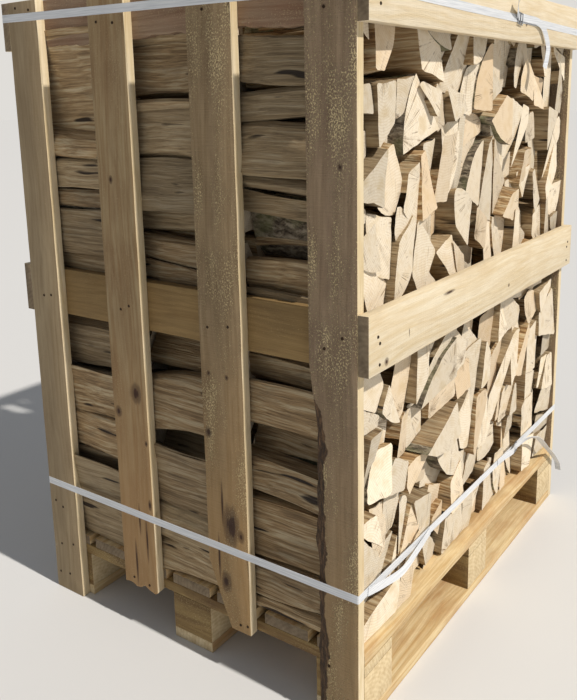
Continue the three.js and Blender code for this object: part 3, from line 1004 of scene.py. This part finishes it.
# darker pine for the stringers and blocks, whose sides are seen in shade: partly their own colour, partly
# painted shade
DARK_PINE_PAINTED_SHADE = sawn_softwood("dark_pine_painted_shade", "#9f8655", "#7d6038", "#593d22", 0.5, fuzz=0.5)
LOG_END = log_end()
SPLIT_SIDE = split_side()
BARK = birch_bark()
STRAP = strap_plastic()
WIRE = dulled_steel("galvanised_wire", "#8f9194", "#b9bbbd", 0.35)
NAIL = dulled_steel("rusted_nail", "#2f261f", "#4a3a2d", 0.6)

SLATS = {"corner_back": SMOOTH_SLAT, "inner_back": KNOTTY_SLAT, "inner_front": ROUGH_SLAT,
         "corner_front": ROUGH_POST}
seed = 0
for name in sorted(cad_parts):
    seed += 1
    tone = random.Random(seed).uniform(0.93, 1.06)
    if name.startswith(("skid", "deck")):
        # the decks' ends are seen in shade and take the darker copy of the end grain: painted shade
        ends = SHADED_END_PAINTED if name.startswith("deck") else CROSS_CUT
        sawn_board(name, X, [PALLET_WOOD, ends], tone, seed)
    elif name.startswith("stringer"):
        sawn_board(name, Y, [DARK_PINE_PAINTED_SHADE, CROSS_CUT], tone, seed)
    elif name.startswith("block"):
        sawn_board(name, Y, [DARK_PINE_PAINTED_SHADE, CROSS_CUT], tone, seed, step=12 * MM)
    elif name == "front_board_mid":
        sawn_board(name, X, [MARKED_BOARD, SHADED_END_PAINTED])
    elif name == "front_board_top":
        sawn_board(name, X, [TOP_FRONT_BOARD, SHADED_END_PAINTED])
    elif "_board_" in name:
        sawn_board(name, X, [PALE_BOARD, SHADED_END_PAINTED], tone, seed)
    elif "_rail_mid" in name:
        sawn_board(name, Y, [RAIL_WOOD, CROSS_CUT], tone, seed)
    elif "_rail_top" in name:
        sawn_board(name, Y, [TOP_RAIL_WOOD, CROSS_CUT], tone, seed, step=10 * MM,
                   shape=rough_under)
    elif name == "left_slat_inner_front":
        sawn_board(name, Z, [ROUGH_SLAT, CROSS_CUT, PALE_EDGE_PAINTED_LIGHT], step=24.5 * MM,
                   wobble=(0.4, 0.5, 0), shape=sawn_corner, boxy=False)
    elif name == "left_slat_corner_front":
        sawn_board(name, Z, [ROUGH_POST, CROSS_CUT, PALE_EDGE_PAINTED_LIGHT], step=12 * MM, strips=9,
                   shape=waney_edge)
    elif name == "left_slat_inner_back":
        sawn_board(name, Z, [KNOTTY_SLAT, CROSS_CUT, PALE_EDGE_PAINTED_LIGHT], strips=12, shape=torn_end)
    elif "_slat_" in name:
        sawn_board(name, Z, [SLATS[name.split("_slat_")[1]], CROSS_CUT, PALE_EDGE_PAINTED_LIGHT], tone, seed)

for row, stack_seed in (("front", 55), ("middle", 56), ("back", 60)):
    log_row(row, stack_seed)

strap("upper_strap", 1.238, -0.012, 0.015, [
    [(84, -421.6, 1233, 0), (66, -424, 1239, 0), (48, -430, 1251, 10), (36, -436, 1265, 20)],
    [(78, -422, 1235, 0), (130, -423.5, 1233, 0), (180, -425, 1231, 5), (215, -427, 1219, 10),
     (244, -428, 1186, 15), (241, -428, 1160, 15), (231, -427, 1138, 15)],
], 3.0)
strap("lower_strap", 0.260, -0.005, 0, [
    [(212, -402, 261, 0), (175, -411, 264, 0), (135, -408, 266, 0), (100, -402, 262, 0)],
    [(-250, -402, 261, 0), (-310, -407, 255, 5), (-380, -412, 249, 10), (-440, -408, 255, 5),
     (-490, -402, 262, 0)],
    [(200, -402.5, 260, 0), (240, -406, 260, 10), (290, -411, 254, 45), (350, -413, 232, 75),
     (416, -413, 184, 85), (480, -413, 136, 88), (530, -411, 94, 90), (550, -409, 64, 90)],
], 8.0)
wire_buckle("upper_buckle", 1.0, 6)
wire_buckle("lower_buckle", 2.0, -12)

LEFT, FRONT, RIGHT, BACK = (-1, 0, 0), (0, -1, 0), (1, 0, 0), (0, 1, 0)
SLAT_NAILS = {  # (y, z) of the nails in each slat of the left side
    "corner_back": [(362, 691), (339, 694), (382, 217), (359, 207), (374, 113), (334, 123),
                    (386, 40), (354, 44), (336, 1262), (376, 1268)],
    "inner_back": [(130, 692), (107, 701), (104, 1222), (146, 1226), (142, 112), (98, 108)],
    "inner_front": [(-91, 689), (-138, 696), (-108, 1228), (-143, 113), (-160, 116)],
    "corner_front": [(-344, 1213), (-376, 1243), (-338, 690), (-372, 712), (-340, 112), (-380, 60)],
}
places = []
for spots in SLAT_NAILS.values():
    for y, z in spots:
        places.append(((-520.2, y, z), LEFT))
        places.append(((520.2, y, z), RIGHT))
for x, z in ((491, 715), (485, 703), (486, 668), (492, 1262), (486, 1214)):
    for side in (-1, 1):
        places.append(((side * x, -420.2, z), FRONT))
        places.append(((side * x, 420.2, z), BACK))
nails(places)
